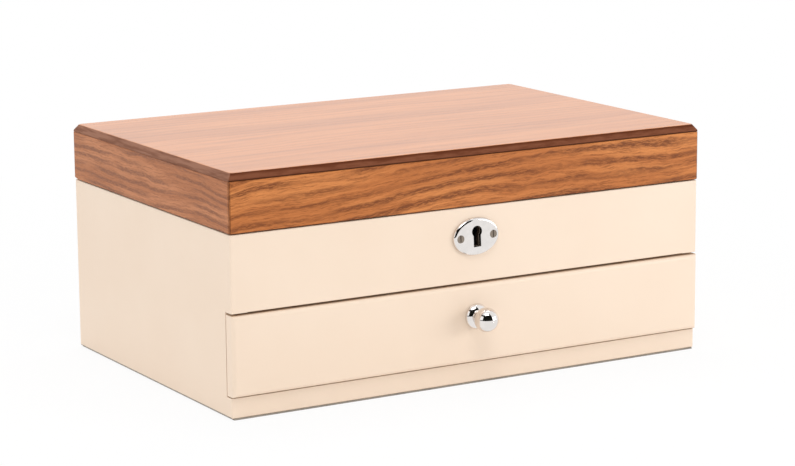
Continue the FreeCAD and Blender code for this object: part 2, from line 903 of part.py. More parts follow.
def ring_roll(index):
    """One ring roll: a padded bar with a rounded top, counted from the front."""
    y0 = tray_front + index * (roll_width + roll_slot) + roll_slot / 2
    y1 = y0 + roll_width
    x = tray_x - roll_end_gap
    top = tray_floor + roll_height
    roll = box(-x, x, y0, y1, tray_floor, top)
    crown = edges_at(roll, y=y0, z=top) + edges_at(roll, y=y1, z=top)
    return roll.makeFillet(roll_crown_share * roll_width, crown)


def tray_divider():
    """Velvet-covered board between the rolls and the open trough behind them."""
    y0 = rolls_back + roll_slot
    top = tray_floor + tray_divider_height
    return box(-tray_x, tray_x, y0, y0 + divider_thickness, tray_floor, top)


# ---------------------------------------------------------------- drawer
def drawer_bottom_full():
    """The drawer's bottom board with its tongues."""
    x = drawer_inner_x + drawer_bottom_groove
    y0 = drawer_inner_front_face - drawer_bottom_groove
    y1 = drawer_back_inner + drawer_bottom_groove
    return box(-x, x, y0, y1, drawer_board_z, drawer_floor)


def knob_hole(y0, y1):
    """Clear hole for the knob's screw."""
    place = Vector(0, y0, knob_height)
    return Part.makeCylinder(knob_screw_radius + bore_clearance, y1 - y0, place, Vector(0, 1, 0))


def drawer_front():
    """Painted front, as wide as the body, with soft front edges."""
    board = box(
        -half_width,
        half_width,
        drawer_face,
        drawer_front_back,
        drawer_front_z,
        drawer_front_top,
    )
    soft = (
        edges_at(board, y=drawer_face, z=drawer_front_z)
        + edges_at(board, y=drawer_face, z=drawer_front_top)
        + edges_at(board, y=drawer_face, x=-half_width)
        + edges_at(board, y=drawer_face, x=half_width)
    )
    board = board.makeFillet(drawer_front_round, soft)
    return board.cut(knob_hole(drawer_face, drawer_front_back))


def drawer_inner_front():
    """Front board of the drawer box, screwed to the painted front."""
    board = box(
        -drawer_half_width,
        drawer_half_width,
        drawer_front_back,
        drawer_inner_front_face,
        drawer_bottom_edge,
        drawer_side_top,
    )
    return board.cut([drawer_bottom_full(), knob_hole(drawer_front_back, drawer_inner_front_face)])


def drawer_side():
    """Right side of the drawer box."""
    board = box(
        drawer_inner_x,
        drawer_half_width,
        drawer_inner_front_face,
        drawer_back_face,
        drawer_bottom_edge,
        drawer_side_top,
    )
    return board.cut(drawer_bottom_full())


def drawer_back():
    """Back of the drawer box, taller than its sides so that it meets the stop strip."""
    top = front_panel_z - drawer_back_gap_above
    x = drawer_inner_x
    board = box(-x, x, drawer_back_inner, drawer_back_face, drawer_bottom_edge, top)
    return board.cut(drawer_bottom_full())


def drawer_floor_lining():
    """Velvet-covered card on the drawer's bottom."""
    y0, y1 = drawer_inner_front_face, drawer_back_inner
    x = drawer_inner_x
    return box(-x, x, y0, y1, drawer_floor, drawer_floor + lining)


def drawer_wall_lining():
    """Velvet-covered card round the drawer's walls, cut out round the knob's screw."""
    x, y0, y1 = drawer_inner_x, drawer_inner_front_face, drawer_back_inner
    z0, z1 = drawer_floor + lining, drawer_side_top - lining
    outer = box(-x, x, y0, y1, z0, z1)
    inner = box(lining - x, x - lining, y0 + lining, y1 - lining, z0, z1)
    hole = Part.makeCylinder(
        knob_screw_head_radius + knob_screw_head_clearance,
        lining,
        Vector(0, y0, knob_height),
        Vector(0, 1, 0),
    )
    return ring(outer, inner).cut(hole)


def drawer_divider(x0, x1, y0, y1):
    """Velvet-covered board in the drawer."""
    z0 = drawer_floor + lining
    return box(x0, x1, y0, y1, z0, z0 + drawer_divider_height)


def drawer_dividers():
    """A long board across the drawer and a short one behind it."""
    x = drawer_inner_x - lining
    y0, y1 = drawer_inner_front_face + lining, drawer_back_inner - lining
    middle = (y0 + y1) / 2
    half = divider_thickness / 2
    return {
        "drawer_divider_long": drawer_divider(-x, x, middle - half, middle + half),
        "drawer_divider_short": drawer_divider(-half, half, middle + half, y1),
    }


# ---------------------------------------------------------------- knob
def knob_rosette():
    """Domed foot of the knob."""
    crown = knob_neck_radius + bore_clearance
    start = Vector(rosette_radius, 0, rosette_flange)
    end = Vector(crown, 0, rosette_height)
    middle = (rosette_radius + crown) / 2
    bulge = Vector(middle + rosette_bulge, 0, rosette_height - rosette_shoulder)
    inner = Vector(crown, 0, 0)
    rim_foot = Vector(rosette_radius, 0, 0)
    edges = [
        Part.makeLine(inner, rim_foot),
        Part.makeLine(rim_foot, start),
        Part.Arc(start, bulge, end).toShape(),
        Part.makeLine(end, inner),
    ]
    dome = Part.Face(Part.Wire(edges)).revolve(Vector(0, 0, 0), Vector(0, 0, 1), 360)
    return aimed(dome, Vector(0, drawer_face, knob_height), Vector(0, -1, 0))


def knob_ball():
    """Ball and neck, tapped for the screw."""
    ball = Part.makeSphere(knob_ball_radius, Vector(0, 0, knob_reach))
    neck = Part.makeCylinder(knob_neck_radius, knob_reach)
    bore = Part.makeCylinder(knob_screw_radius + bore_clearance, knob_tap_depth())
    knob = ball.fuse(neck).cut(bore)
    return aimed(knob, Vector(0, drawer_face, knob_height), Vector(0, -1, 0))


def knob_tap_depth():
    """Depth of the tapped hole from the knob's foot."""
    return knob_reach - knob_ball_radius + knob_screw_depth


def knob_screw():
    """Machine screw from inside the drawer into the ball."""
    shank_length = drawer_board + drawer_front_thickness + knob_tap_depth() - bore_clearance
    head = Part.makeCylinder(knob_screw_head_radius, knob_screw_head_height)
    top_edge = [e for e in head.Edges if e.BoundBox.ZMax < near]
    head = head.makeFillet(knob_screw_head_round, top_edge)
    slot = box(
        -knob_screw_head_radius,
        knob_screw_head_radius,
        -screw_slot_width / 2,
        screw_slot_width / 2,
        0,
        screw_slot_depth,
    )
    shank = Part.makeCylinder(knob_screw_radius, knob_screw_head_height + shank_length)
    place = Vector(0, drawer_inner_front_face + knob_screw_head_height, knob_height)
    return aimed(head.fuse(shank).cut(slot), place, Vector(0, -1, 0))


# ---------------------------------------------------------------- all pieces
def all_pieces():
    """Every piece under the name of its file; a list is a group of like solids."""
    pieces = {
        "base_felt": base_felt(),
        "base_panel": base_panel(),
        "base_front_rail": base_front_rail(),
        "left_side_panel": mirrored(side_panel()),
        "right_side_panel": side_panel(),
        "back_panel": back_panel(),
        "front_panel": front_panel(),
        "tray_board": tray_board_grooved(),
        "drawer_runner_left": mirrored(drawer_runner()),
        "drawer_runner_right": drawer_runner(),
        "drawer_stop_strip": drawer_stop_strip(),
        "escutcheon": escutcheon(),
        "escutcheon_screws": escutcheon_screws(),
        "lock_case": lock_case(),
        "lock_plate": lock_plate(),
        "lock_screws": lock_screws(),
        "lock_key_post": lock_key_post(),
        "lock_bolt_guides": lock_bolt_guides(),
        "lock_bolt": lock_bolt(),
        "lock_spring": lock_spring(),
        "hinge_body_screws": [
            aimed(screw(small_screw, body_slot_turn), place, Vector(0, 0, -1))
            for place in hinge_screw_places(rim)
        ],
        "hinge_lid_screws": [
            aimed(screw(small_screw, lid_slot_turn), place, Vector(0, 0, 1))
            for place in hinge_screw_places(lid_z)
        ],
        "lid_top_panel": lid_top_panel(),
        "lid_mirror": lid_mirror(),
        "lid_mirror_frame": lid_mirror_frame(),
        "strike_plate": strike_plate(),
        "strike_screws": strike_screws(),
        "tray_floor_lining": tray_floor_lining(),
        "tray_wall_lining": tray_wall_lining(),
        "tray_divider": tray_divider(),
        "drawer_front": drawer_front(),
        "drawer_inner_front": drawer_inner_front(),
        "drawer_left_side": mirrored(drawer_side()),
        "drawer_right_side": drawer_side(),
        "drawer_back": drawer_back(),
        "drawer_bottom": drawer_bottom_full(),
        "drawer_floor_lining": drawer_floor_lining(),
        "drawer_wall_lining": drawer_wall_lining(),
        "knob_rosette": knob_rosette(),
        "knob_ball": knob_ball(),
        "knob_screw": knob_screw(),
    }
    for name, middle in zip(("left", "right"), hinge_middles):
        pieces[f"hinge_{name}_body_leaf"] = body_leaf(middle)
        pieces[f"hinge_{name}_lid_leaf"] = lid_leaf(middle)
        pieces[f"hinge_{name}_pin"] = hinge_pin(middle)
    for side in ("front", "back", "left", "right"):
        pieces[f"lid_{side}_rail"] = lid_rail(side)
    for index in range(roll_count):
        pieces[f"ring_roll_{index + 1}"] = ring_roll(index)
    pieces.update(drawer_dividers())
    return pieces


os.makedirs("parts", exist_ok=True)
for name, shape in all_pieces().items():
    if isinstance(shape, list):
        shape = Part.makeCompound(shape)
    shape.exportStep(f"parts/{name}.step")
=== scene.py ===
import json
import math
import random

import bmesh
import bpy
from mathutils import Matrix, Vector, noise


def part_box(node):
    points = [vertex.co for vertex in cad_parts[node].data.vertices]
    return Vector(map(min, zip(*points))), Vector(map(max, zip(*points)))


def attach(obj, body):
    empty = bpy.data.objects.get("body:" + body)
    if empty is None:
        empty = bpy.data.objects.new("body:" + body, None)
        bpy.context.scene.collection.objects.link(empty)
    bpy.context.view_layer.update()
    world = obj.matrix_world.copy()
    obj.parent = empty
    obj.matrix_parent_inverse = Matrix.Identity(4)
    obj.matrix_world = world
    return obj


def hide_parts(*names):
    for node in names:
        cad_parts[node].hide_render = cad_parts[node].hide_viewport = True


# The ring box in its finishes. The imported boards, hinges, lock and knob keep their shapes and
# get their lacquer, veneer and plating here. All the soft pieces are made here: the ring
# rolls, the velvet on card, the padded frame round the mirror and the felt under the base.
# Metres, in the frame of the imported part: the front faces -Y and +Z is up.

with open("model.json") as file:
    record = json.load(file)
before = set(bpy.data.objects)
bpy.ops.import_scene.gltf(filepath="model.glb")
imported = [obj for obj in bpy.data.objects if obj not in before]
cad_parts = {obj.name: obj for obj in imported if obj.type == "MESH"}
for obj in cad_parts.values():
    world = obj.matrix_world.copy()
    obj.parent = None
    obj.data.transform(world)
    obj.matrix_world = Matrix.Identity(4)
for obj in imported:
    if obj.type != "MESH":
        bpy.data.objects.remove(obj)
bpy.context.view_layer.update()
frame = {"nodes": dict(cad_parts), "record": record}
nodes = frame["nodes"]

# ---------------------------------------------------------------- colours (linear)
CREAM = (0.912, 0.742, 0.590)
CREAM_SHADE = (0.892, 0.715, 0.560)
# painted shade: darker, warmer cream for faces that look up or down, seen in the gaps
CREAM_GAP_SHADE = (0.855, 0.665, 0.490)
# painted shade: dark brown for bare undersides, which darkens the gap under the front panel
UNDERSIDE_SHADE = (0.430, 0.235, 0.065)
# painted shadow: the dark contact line at the foot of the outer sides
FOOT_CONTACT_SHADOW = (0.150, 0.118, 0.088)
OAK_LIGHT = (0.690, 0.255, 0.075)
OAK_MIDDLE = (0.520, 0.170, 0.046)
OAK_DARK = (0.190, 0.053, 0.014)
# painted sheen: paler, duller copies of the oak for the side rails, the next three
SIDE_SHEEN_LIGHT = (0.590, 0.243, 0.110)
SIDE_SHEEN_MIDDLE = (0.460, 0.172, 0.070)
SIDE_SHEEN_DARK = (0.250, 0.086, 0.035)
# painted light: a lighter copy of the oak for the top, which faces the lamps, the next four
TOP_LIT_LIGHT = (0.750, 0.284, 0.086)
TOP_LIT_MIDDLE = (0.660, 0.233, 0.065)
TOP_LIT_DARK = (0.500, 0.156, 0.042)
TOP_LIT_BAND = (0.500, 0.175, 0.056)
EDGE_STAIN = (0.110, 0.028, 0.010)
# painted sheen on the lower part of the lid's bevel
EDGE_PALE_SHEEN = (0.205, 0.070, 0.034)
# painted sheen on the side bevels of the lid, the next two
EDGE_SIDE_SHEEN_HIGH = (0.320, 0.155, 0.100)
EDGE_SIDE_SHEEN_LOW = (0.215, 0.092, 0.056)
# dark joints, and painted shade along the lid's lower arris
DARK_JOINT_AND_SHADE = (0.040, 0.011, 0.004)
BARE_LIGHT = (0.640, 0.470, 0.290)
BARE_DARK = (0.480, 0.320, 0.180)
CHROME = (0.83, 0.795, 0.77)
NICKEL = (0.70, 0.68, 0.64)
STEEL = (0.42, 0.42, 0.43)
# near black: the lock's blackened steel, which also stands as painted shade inside the keyhole
BLACKENED_AND_SHADE = (0.030, 0.026, 0.022)
# near black: painted shade in the keyhole's walls
KEYHOLE_SHADE = (0.055, 0.034, 0.020)
TARNISHED = (0.270, 0.225, 0.185)
VELVET_LIGHT = (0.660, 0.530, 0.400)
VELVET_DARK = (0.480, 0.370, 0.270)
FELT_LIGHT = (0.375, 0.335, 0.290)
FELT_DARK = (0.250, 0.222, 0.190)
MIRROR = (0.90, 0.92, 0.92)
WHITE = (1.0, 1.0, 1.0)

# ---------------------------------------------------------------- sizes
MM = 0.001
CARD = 1.0 * MM  # velvet-covered card of the walls
BEVEL_DROP = 3.2 * MM  # height of the lid's bevel
KEYHOLE_REACH = 4.0 * MM  # half the width of the painted shade in the keyhole's walls
KEYHOLE_MARGIN = 2.0 * MM  # from the escutcheon's top and foot to that painted shade
FLOOR_LEVEL = -0.02 * MM

CORNER_STEPS = 5  # facets of a soft piece's rounded corner
END_STEPS = 4  # facets of its rounded end

ROLL_SLACK = (0.8 * MM, 0.5 * MM, 0.6 * MM)  # room to swell at the ends, sides and top
ROLL_FRAMES = 20  # length of the cloth run
ROLL_PRESSURE = 4.0
ROLL_JITTER = 0.00012  # how unevenly the cover starts
ROLL_SWELL = 0.0009  # the most that any point moves

FRAME_LIP = 3.0 * MM  # how far the mirror's frame laps over the glass
FRAME_CLEAR = 0.02 * MM  # between the frame and the glass
FRAME_RIPPLE = 0.25 * MM
FRAME_STEPS = 24  # rings along each side of the frame
FRAME_WIDTHS = 8  # strips across its face

# Figure of the oak. Each row: how often it changes in a metre along the grain, across it and
# into the board, then its detail and roughness.
GRAIN = {
    "sweep": ((7.0, 14.0, 14.0), 2.0, 0.5),
    "wave": ((95.0, 150.0, 150.0), 3.0, 0.65),
    "patch": ((13.0, 130.0, 50.0), 2.0, 0.5),
    "cloud": ((9.0, 75.0, 40.0), 1.0, 0.5),
    "streak": ((60.0, 1100.0, 1100.0), 3.0, 0.7),
    "dash": ((230.0, 1900.0, 1900.0), 3.0, 0.65),
    "fibre": ((420.0, 4200.0, 4200.0), 2.0, 0.6),
}
SWEEP_REACH = 0.020  # how far a band sweeps up and down, in metres
WAVE_REACH = 0.0026  # how far its edges waver
BANDS = 1050.0  # radians of band in a metre
BAND_DRIFT = 7.0  # radians that the sweep moves them


# ---------------------------------------------------------------- shader maths
class Wire:
    """A socket of a finish, with sums written as Python."""

    def __init__(self, finish, socket):
        self.finish = finish
        self.socket = socket

    def sum_with(self, operation, *values):
        inputs = dict(enumerate(values))
        return self.finish.node("ShaderNodeMath", {"operation": operation}, inputs)

    def __add__(self, other):
        return self.sum_with("ADD", self, other)

    __radd__ = __add__

    def __mul__(self, other):
        return self.sum_with("MULTIPLY", self, other)

    __rmul__ = __mul__

    def __sub__(self, other):
        return self.sum_with("SUBTRACT", self, other)

    def __rsub__(self, other):
        return self.sum_with("SUBTRACT", other, self)

    def __truediv__(self, other):
        return self.sum_with("DIVIDE", self, other)

    def least(self, other):
        return self.sum_with("MINIMUM", self, other)

    def most(self, other):
        return self.sum_with("MAXIMUM", self, other)

    def sine(self):
        return self.sum_with("SINE", self)

    def size(self):
        return self.sum_with("ABSOLUTE", self)

    def ramp(self, low, high, start=0.0, end=1.0):
        """Smooth change from start to end while this value goes from low to high."""
        settings = {"interpolation_type": "SMOOTHSTEP"}
        values = {
            "Value": self,
            "From Min": low,
            "From Max": high,
            "To Min": start,
            "To Max": end,
        }
        return self.finish.node("ShaderNodeMapRange", settings, values)


class Finish:
    """A material being made, or the world's light."""

    def __init__(self, name, kept_in=bpy.data.materials, output="ShaderNodeOutputMaterial"):
        self.owner = kept_in.new(name)
        self.owner.use_nodes = True
        self.tree = self.owner.node_tree
        self.tree.nodes.clear()
        self.output = self.tree.nodes.new(output)

    def node(self, kind, settings=None, values=None, out=0):
        """Any node: its settings come first, then the values or wires of its sockets."""
        made = self.tree.nodes.new(kind)
        for name, value in (settings or {}).items():
            setattr(made, name, value)
        for name, value in (values or {}).items():
            self.feed(made.inputs[name], value)
        return Wire(self, made.outputs[out])

    def feed(self, socket, value):
        """Joins a wire to a socket, or sets it to a number or colour."""
        if isinstance(value, Wire):
            self.tree.links.new(value.socket, socket)
        elif hasattr(socket.default_value, "__len__") and len(value) < len(socket.default_value):
            socket.default_value = (*value, 1.0)
        else:
            socket.default_value = value

    def place(self):
        """Position in the part's own frame, in metres."""
        return self.node("ShaderNodeTexCoord", out="Object")

    def facing(self):
        """The x, y and z of the way that the surface faces."""
        return self.parts(self.node("ShaderNodeNewGeometry", out="Normal"))

    def plain_rays(self):
        """1 for the camera's own rays and those off or through gloss, and 0 for the rest."""
        seen, mirrored, through = (
            self.node("ShaderNodeLightPath", out=f"Is {kind} Ray")
            for kind in ("Camera", "Glossy", "Transmission")
        )
        return seen.most(mirrored).most(through)

    def parts(self, vector):
        """The x, y and z of a vector."""
        return [
            self.node("ShaderNodeSeparateXYZ", None, {"Vector": vector}, out=axis)
            for axis in "XYZ"
        ]

    def vector(self, x, y, z):
        return self.node("ShaderNodeCombineXYZ", None, {"X": x, "Y": y, "Z": z})

    def noise(self, vector, scale, detail=2.0, roughness=0.5, distortion=0.0):
        values = {
            "Vector": vector,
            "Scale": scale,
            "Detail": detail,
            "Roughness": roughness,
            "Distortion": distortion,
        }
        return self.node("ShaderNodeTexNoise", None, values)

    def stretched_noise(self, vector, scales, detail=2.0, roughness=0.5, distortion=0.0):
        """Noise with a scale for each axis."""
        values = {0: vector, 1: scales}
        stretched = self.node("ShaderNodeVectorMath", {"operation": "MULTIPLY"}, values)
        return self.noise(stretched, 1.0, detail, roughness, distortion)

    def mix(self, factor, first, second):
        """Colours mixed by a factor."""
        values = {0: factor, 6: first, 7: second}
        return self.node("ShaderNodeMix", {"data_type": "RGBA"}, values, out=2)

    def bump(self, height, distance):
        return self.node("ShaderNodeBump", None, {"Height": height, "Distance": distance})

    def principled(self, **values):
        """One principled shader; underscores stand for spaces."""
        named = {name.replace("_", " "): value for name, value in values.items()}
        return self.node("ShaderNodeBsdfPrincipled", None, named, out="BSDF")

    def diffuse(self, colour):
        return self.node("ShaderNodeBsdfDiffuse", None, {"Color": colour})

    def shared(self, share, first, second):
        """Two shaders mixed by a share."""
        return self.node("ShaderNodeMixShader", None, {0: share, 1: first, 2: second})

    def close(self, shader):
        """Ends the finish with its shader."""
        self.tree.links.new(shader.socket, self.output.inputs["Surface"])
        return self.owner

    def surface(self, **values):
        """Ends the finish with one principled shader."""
        return self.close(self.principled(**values))


# ---------------------------------------------------------------- finishes
def cream_lacquer(name, keyhole=None):
    """Satin cream paint sprayed on smooth board, with painted shade, near black, in a keyhole's
    walls.

    Faces that look up or down are duller and carry painted shade for the gaps between parts,
    undersides are bare and darker still as painted shade in the gap under the front panel,
    and the outer sides carry a painted contact shadow at their foot.
    """
    f = Finish(name)
    place = f.place()
    x, y, z = f.parts(place)
    facing_x, _, facing_z = f.facing()
    cloud = f.noise(place, 14.0, 3.0, 0.55)
    speck = f.noise(place, 420.0, 2.0, 0.5)
    colour = f.mix(cloud.ramp(0.30, 0.72), CREAM_SHADE, CREAM)
    flat = 0.85, 0.97  # how far up or down a face looks, from partly to wholly
    # painted shade: faces that look up or down, the edges seen in the gaps, get a darker, warmer
    # cream; they are duller too
    level_faces = facing_z.size().ramp(*flat)
    colour = f.mix(level_faces, colour, CREAM_GAP_SHADE)
    # painted shade: downward faces are bare board in dark brown, which darkens the gap under the
    # front panel
    colour = f.mix((facing_z * -1.0).ramp(*flat), colour, UNDERSIDE_SHADE)
    # painted shadow: a dark line along the foot of the outer sides, where they meet the floor
    foot = z.ramp(1.10 * MM, 1.50 * MM, 1.0, 0.0) * facing_x.size().ramp(0.7, 0.9)
    colour = f.mix(foot * 0.9, colour, FOOT_CONTACT_SHADOW)
    if keyhole:
        low, high = keyhole
        # painted shade: the walls of the keyhole in the panel are coloured near black
        inside = (
            (y - low.y).ramp(0.1 * MM, 0.3 * MM)
            * x.size().ramp(high.x, high.x + MM, 1.0, 0.0)
            * z.ramp(low.z - MM, low.z)
            * z.ramp(high.z, high.z + MM, 1.0, 0.0)
        )
        colour = f.mix(inside, colour, KEYHOLE_SHADE)
    peel = f.noise(place, 260.0, 3.0, 0.6)
    ripple = f.noise(place, 38.0, 1.0, 0.5)
    return f.surface(
        Base_Color=colour,
        Roughness=speck * 0.08 + 0.36 + cloud * 0.05 + level_faces * 0.40,
        Normal=f.bump(peel * 0.35 + ripple, 0.00006),
        Specular_IOR_Level=0.65,
    )


def veneer_grain(f, along, across, depth, tones, slope):
    """Oak grain: slanting bands of short dark streaks, and pores.

    Returns its colour, its height and how dark the bands are.
    """
    light, middle, dark = tones
    straight = f.vector(along, across, depth)
    sweep = f.stretched_noise(straight, *GRAIN["sweep"]) - 0.5
    wave = f.stretched_noise(straight, *GRAIN["wave"]) - 0.5
    level = across - along * slope + sweep * SWEEP_REACH + wave * WAVE_REACH
    band = (level * BANDS + sweep * BAND_DRIFT).sine() * 0.5 + 0.5
    bent = f.vector(along, level, depth)
    patch, cloud, streak, dash, fibre = (
        f.stretched_noise(bent, *GRAIN[name])
        for name in ("patch", "cloud", "streak", "dash", "fibre")
    )
    late = band.ramp(0.25, 0.85) * patch.ramp(0.36, 0.54) * dash.ramp(0.34, 0.58, 0.25, 1.0)
    fine = streak.ramp(0.46, 0.62) * dash.ramp(0.40, 0.58, 0.15, 1.0)
    tone = dash.ramp(0.30, 0.66) * 0.35 + streak.ramp(0.34, 0.62, 1.0, 0.0) * 0.35
    ground = f.mix(tone + cloud.ramp(0.40, 0.58, 0.35, -0.40), middle, light)
    ground = f.mix((late * 0.95).most(fine * 0.62), ground, dark)
    pits = fibre.ramp(0.54, 0.68) * (late * 0.6 + 0.3)
    return f.mix(pits * 0.5, ground, dark), dash * 0.5 - pits * 0.7, late


def veneer(name, grain_axis, tones, slope, fineness, lid_low, lid_high):
    """Satin oak veneer on a rail, with painted shade along its lower arris and dark seams at its
    ends.
    """
    f = Finish(name)
    place = f.place()
    x, y, z = f.parts(place)
    if grain_axis == "X":
        along, depth, reach, outer = x, y, lid_high[0], lid_high[1]
    else:
        along, depth, reach, outer = y, x, lid_high[1], lid_high[0]
    across = z + (outer - depth.size()) * 0.7  # so the grain also runs over the rail's foot
    colour, height, late = veneer_grain(
        f, along * fineness, across * fineness, depth * fineness, tones, slope
    )
    # painted shade: a dark line along the lower outer arris, where the gap under the lid is in
    # shade
    shade_waver = f.noise(place, 190.0)
    arris = (z - lid_low[2] + shade_waver * (0.3 * MM)).ramp(0.20 * MM, 0.60 * MM, 1.0, 0.0)
    from_face = (lid_high[0] - x.size()).least(lid_high[1] - y.size())
    arris = arris * from_face.ramp(0.5 * MM, 1.2 * MM, 1.0, 0.0)
    from_end = reach - along.size()
    seam = from_end.ramp(0.45 * MM, 0.70 * MM) * from_end.ramp(0.80 * MM, 1.20 * MM, 1.0, 0.0)
    return f.surface(
        Base_Color=f.mix(arris.most(seam * 0.55), colour, DARK_JOINT_AND_SHADE),
        Roughness=late * -0.06 + 0.44,
        Normal=f.bump(height, 0.00007),
        Specular_IOR_Level=0.18,
    )


def veneer_top(lid_high):
    """Oak veneer on the top panel in lighter tones, painted light, stained dark on the bevel round
    it, with painted sheen on the bevel's lower part and on its sides.
    """
    f = Finish("oak_top")
    place = f.place()
    x, y, z = f.parts(place)
    # painted light: lighter tones for the top than for the front rails
    tones = (TOP_LIT_LIGHT, TOP_LIT_MIDDLE, TOP_LIT_DARK)
    colour, height, _ = veneer_grain(f, x * 0.7, y * 0.8, z * 0.8, tones, 0.02)
    broad = f.noise(f.vector(x * 5.0, y * 60.0 - x * 3.0, z * 5.0), 1.0, 3.0, 0.6)
    to_back_left = y * 0.5 - x * 0.25
    soft = f.mix((broad + to_back_left).ramp(0.42, 0.66), TOP_LIT_LIGHT, TOP_LIT_BAND)
    colour = f.mix(0.42, colour, soft)

    uneven = f.stretched_noise(place, (70.0, 70.0, 420.0), 3.0, 0.65)
    under_top = (lid_high[2] - z) / BEVEL_DROP  # 0 at the bevel's upper edge, 1 at its lower
    stain = (under_top + uneven * 0.06).ramp(0.05, 0.11)
    # painted sheen: the lower part of the bevel is paler
    lower = (under_top + uneven * 0.5).ramp(0.45, 0.85)
    brown = f.mix(lower * uneven.ramp(0.30, 0.60, 0.35, 1.0), EDGE_STAIN, EDGE_PALE_SHEEN)
    streak = f.stretched_noise(place, (500.0, 45.0, 500.0), 3.0, 0.6)
    # painted sheen: the side bevels are lighter and greyer than the front's, and their joint line
    # fainter
    side_bevel_sheen = f.mix(streak.ramp(0.38, 0.62), EDGE_SIDE_SHEEN_LOW, EDGE_SIDE_SHEEN_HIGH)
    from_front, from_side = lid_high[1] - y.size(), lid_high[0] - x.size()
    at_side = (from_front - from_side).ramp(-0.1 * MM, 0.3 * MM)
    brown = f.mix(at_side, brown, side_bevel_sheen)
    joint = (under_top + uneven * 0.08).ramp(1.02, 1.14)
    brown = f.mix(joint * (at_side * -0.7 + 0.8), brown, DARK_JOINT_AND_SHADE)
    polished = f.principled(
        Base_Color=colour,
        Roughness=0.32,
        Normal=f.bump(height, 0.00003),
        Coat_Weight=0.35,
        Coat_Roughness=0.20,
    )
    stained = f.principled(
        Base_Color=brown,
        Roughness=0.55,
        Specular_IOR_Level=0.05,
        Normal=f.bump(uneven, 0.0001),
    )
    return f.close(f.shared(stain, polished, stained))


def bare_board(name, grain_axis):
    """Plain sanded board, inside the body and round the drawer."""
    f = Finish(name)
    x, y, z = f.parts(f.place())
    along, depth = (x, y) if grain_axis == "X" else (y, x)
    board = f.vector(along, z, depth)
    streak = f.stretched_noise(board, (18.0, 520.0, 520.0), 4.0, 0.6, 0.3)
    broad = f.stretched_noise(board, (5.0, 60.0, 60.0))
    return f.surface(
        Base_Color=f.mix((streak * 0.6 + broad * 0.4).ramp(0.34, 0.66), BARE_DARK, BARE_LIGHT),
        Roughness=streak * 0.10 + 0.55,
        Normal=f.bump(streak, 0.00006),
    )


def dulled(colour, share):
    return [part * share for part in colour]


def hazed(f, colour):
    """A metal's colour, duller in cloudy patches, and the patches."""
    haze = f.noise(f.place(), 160.0, 3.0, 0.6)
    return f.mix(haze.ramp(0.35, 0.7), dulled(colour, 0.93), colour), haze


def plated(name, colour, roughness, brushing):
    """Plated metal; brushing is how deep the polishing marks are."""
    f = Finish(name)
    shade, haze = hazed(f, colour)
    marks = f.stretched_noise(f.place(), (5200.0, 700.0, 900.0))
    return f.surface(
        Base_Color=shade,
        Metallic=1.0,
        Roughness=haze * 0.05 + roughness,
        Normal=f.bump(marks, brushing),
    )


def lock_plate_finish():
    """Nickel outside, and near black on the face that closes the lock's case: painted shade where
    the keyhole looks in.
    """
    f = Finish("lock_plate_nickel")
    case_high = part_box("lock_case")[1]
    _, y, z = f.parts(f.place())
    bright, haze = hazed(f, NICKEL)
    # painted shade: the face over the case, seen through the keyhole, is near black and not metal
    behind = (y - case_high[1]).ramp(0.05 * MM, 0.20 * MM)
    above = (z - case_high[2]).ramp(0.05 * MM, 0.20 * MM)
    outside = behind.most(above)
    return f.surface(
        Base_Color=f.mix(outside, BLACKENED_AND_SHADE, bright),
        Metallic=outside,
        Roughness=haze * 0.05 + 0.55 - outside * 0.39,
    )


def silvered_glass():
    """Mirror with the faintest haze."""
    f = Finish("mirror_silver")
    haze = f.noise(f.place(), 30.0, 3.0, 0.6)
    colour = f.mix(haze, dulled(MIRROR, 0.95), MIRROR)
    return f.surface(Base_Color=colour, Metallic=1.0, Roughness=0.0)


def velvet():
    """Short-pile velvet, brushed lighter and darker in patches."""
    f = Finish("champagne_velvet")
    place = f.place()
    brushed = f.noise(place, 34.0, 3.0, 0.6, 0.8)
    hairs = f.noise(place, 2600.0, 2.0, 0.6)
    tufts = f.noise(place, 900.0, 3.0, 0.6)
    tone = brushed * 0.6 + tufts * 0.25 + hairs * 0.15
    return f.surface(
        Base_Color=f.mix(tone.ramp(0.36, 0.64), VELVET_DARK, VELVET_LIGHT),
        Roughness=0.92,
        Sheen_Weight=0.55,
        Sheen_Roughness=0.38,
        Sheen_Tint=(1.0, 0.94, 0.86, 1.0),
        Specular_IOR_Level=0.12,
        Normal=f.bump(hairs * 0.6 + tufts, 0.00022),
    )


def pressed_felt():
    """Grey felt under the base."""
    f = Finish("grey_felt")
    place = f.place()
    fibre = f.noise(place, 1500.0, 4.0, 0.7, 1.5)
    cloud = f.noise(place, 90.0)
    return f.surface(
        Base_Color=f.mix((fibre * 0.7 + cloud * 0.3).ramp(0.36, 0.64), FELT_DARK, FELT_LIGHT),
        Roughness=0.96,
        Sheen_Weight=0.25,
        Specular_IOR_Level=0.08,
        Normal=f.bump(fibre, 0.00025),
    )


# ---------------------------------------------------------------- soft pieces
def box_of(node):
    """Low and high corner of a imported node."""
    return [Vector(corner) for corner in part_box(node)]


def put(name, data):
    """A mesh, lamp or camera put in the scene as an object."""
    item = bpy.data.objects.new(name, data)
    bpy.context.scene.collection.objects.link(item)
    return item


def put_mesh(name, mesh):
    """Puts a finished bmesh in the scene."""
    data = bpy.data.meshes.new(name)
    mesh.to_mesh(data)
    mesh.free()
    return put(name, data)


def quarter(step, steps):
    """Cosine and sine of a step on a quarter turn."""
    angle = math.radians(90.0 * step / steps)
    return math.cos(angle), math.sin(angle)


